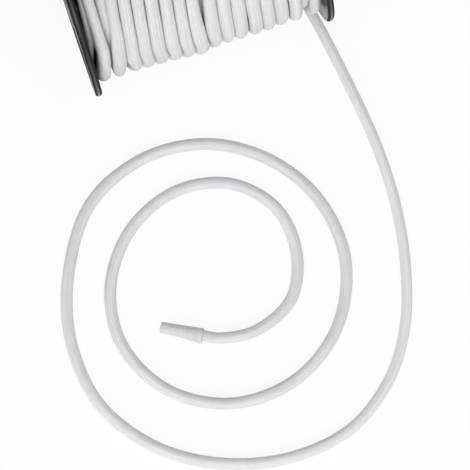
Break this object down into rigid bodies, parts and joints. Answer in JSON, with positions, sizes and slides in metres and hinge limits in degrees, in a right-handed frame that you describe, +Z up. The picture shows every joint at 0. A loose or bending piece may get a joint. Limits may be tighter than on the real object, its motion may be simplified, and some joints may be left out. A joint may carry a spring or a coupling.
{
  "type": "roll of shock cord on a reel",
  "caption": "White braided elastic shock cord wound on a black flanged reel, its sleeved loose end laid out in a flat open spiral.",
  "frame": {"origin": "on the surface the reel rests on, midway between the flanges, straight below the reel's axis", "axes": "+Z up; +X along the reel's axis, towards the flange beside which the cord leaves; -Y towards the loose end"},
  "size_m": [0.2314, 0.3986, 0.1495],
  "materials": {
    "reel_plastic": "black moulded plastic, satin, with faint turning marks",
    "cord_braid": "white polyester braid over a rubber core",
    "sleeve_plastic": "milky translucent sleeve"
  },
  "bodies": {
    "root": {"flange_left": "reel_plastic", "flange_right": "reel_plastic", "barrel": "reel_plastic", "winding": "cord_braid", "loose_end": "cord_braid", "end_sleeve": "sleeve_plastic"}
  },
  "joints": []
}
